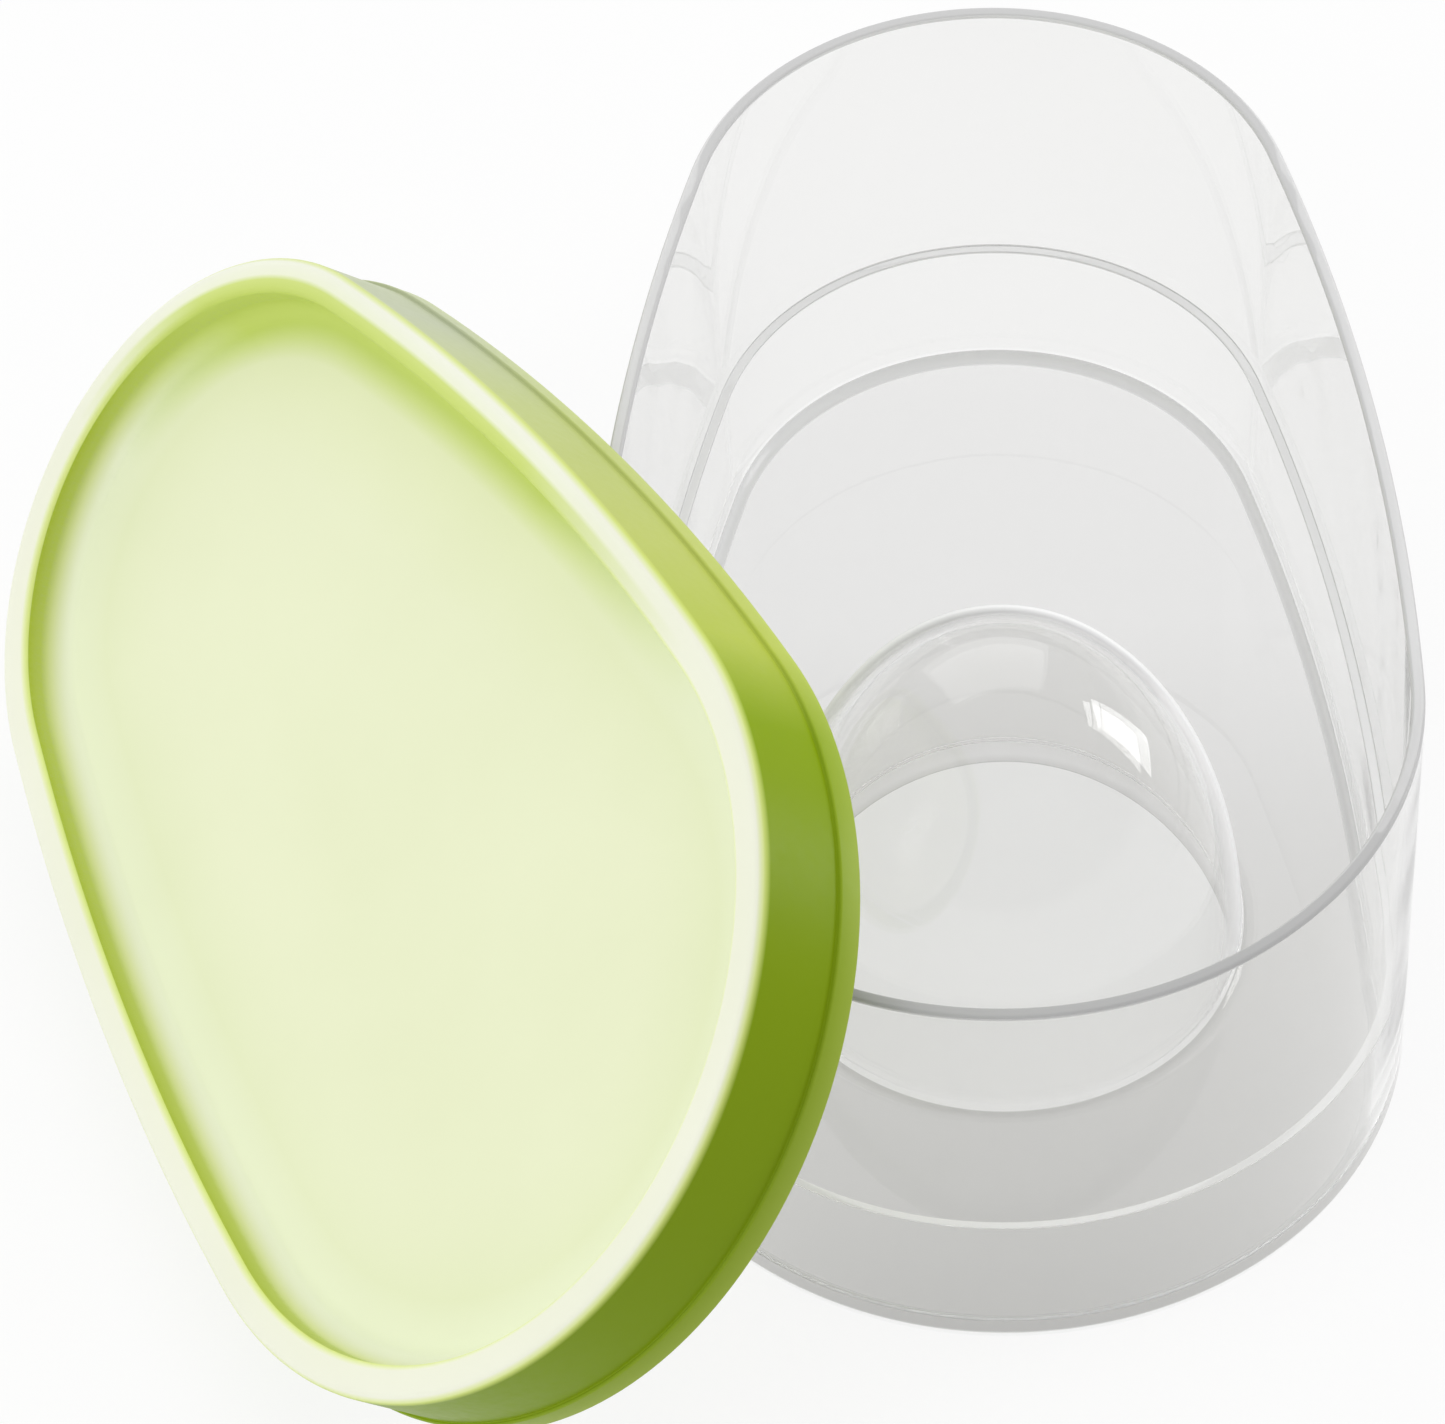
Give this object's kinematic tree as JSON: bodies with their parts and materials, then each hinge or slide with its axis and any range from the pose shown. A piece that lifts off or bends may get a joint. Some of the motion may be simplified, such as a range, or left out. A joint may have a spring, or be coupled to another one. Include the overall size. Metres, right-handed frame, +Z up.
{
  "type": "avocado saver",
  "caption": "Clear avocado-shaped tub with a stone-shaped dome in its floor, and its green snap lid leaning off the rim.",
  "frame": {"origin": "on the face of the tub's foot, under the centre of the tip's arc", "axes": "+Z up out of the open tub, +Y along the tub from its fat end to its tip, +X to the right of a viewer at the fat end"},
  "size_m": [0.1483, 0.1667, 0.0741],
  "materials": {
    "clear_plastic": "clear moulded plastic, polished",
    "green_plastic": "soft satin moulding, slightly translucent"
  },
  "bodies": {
    "root": {"tub": "clear_plastic", "lid": "green_plastic"}
  },
  "joints": []
}
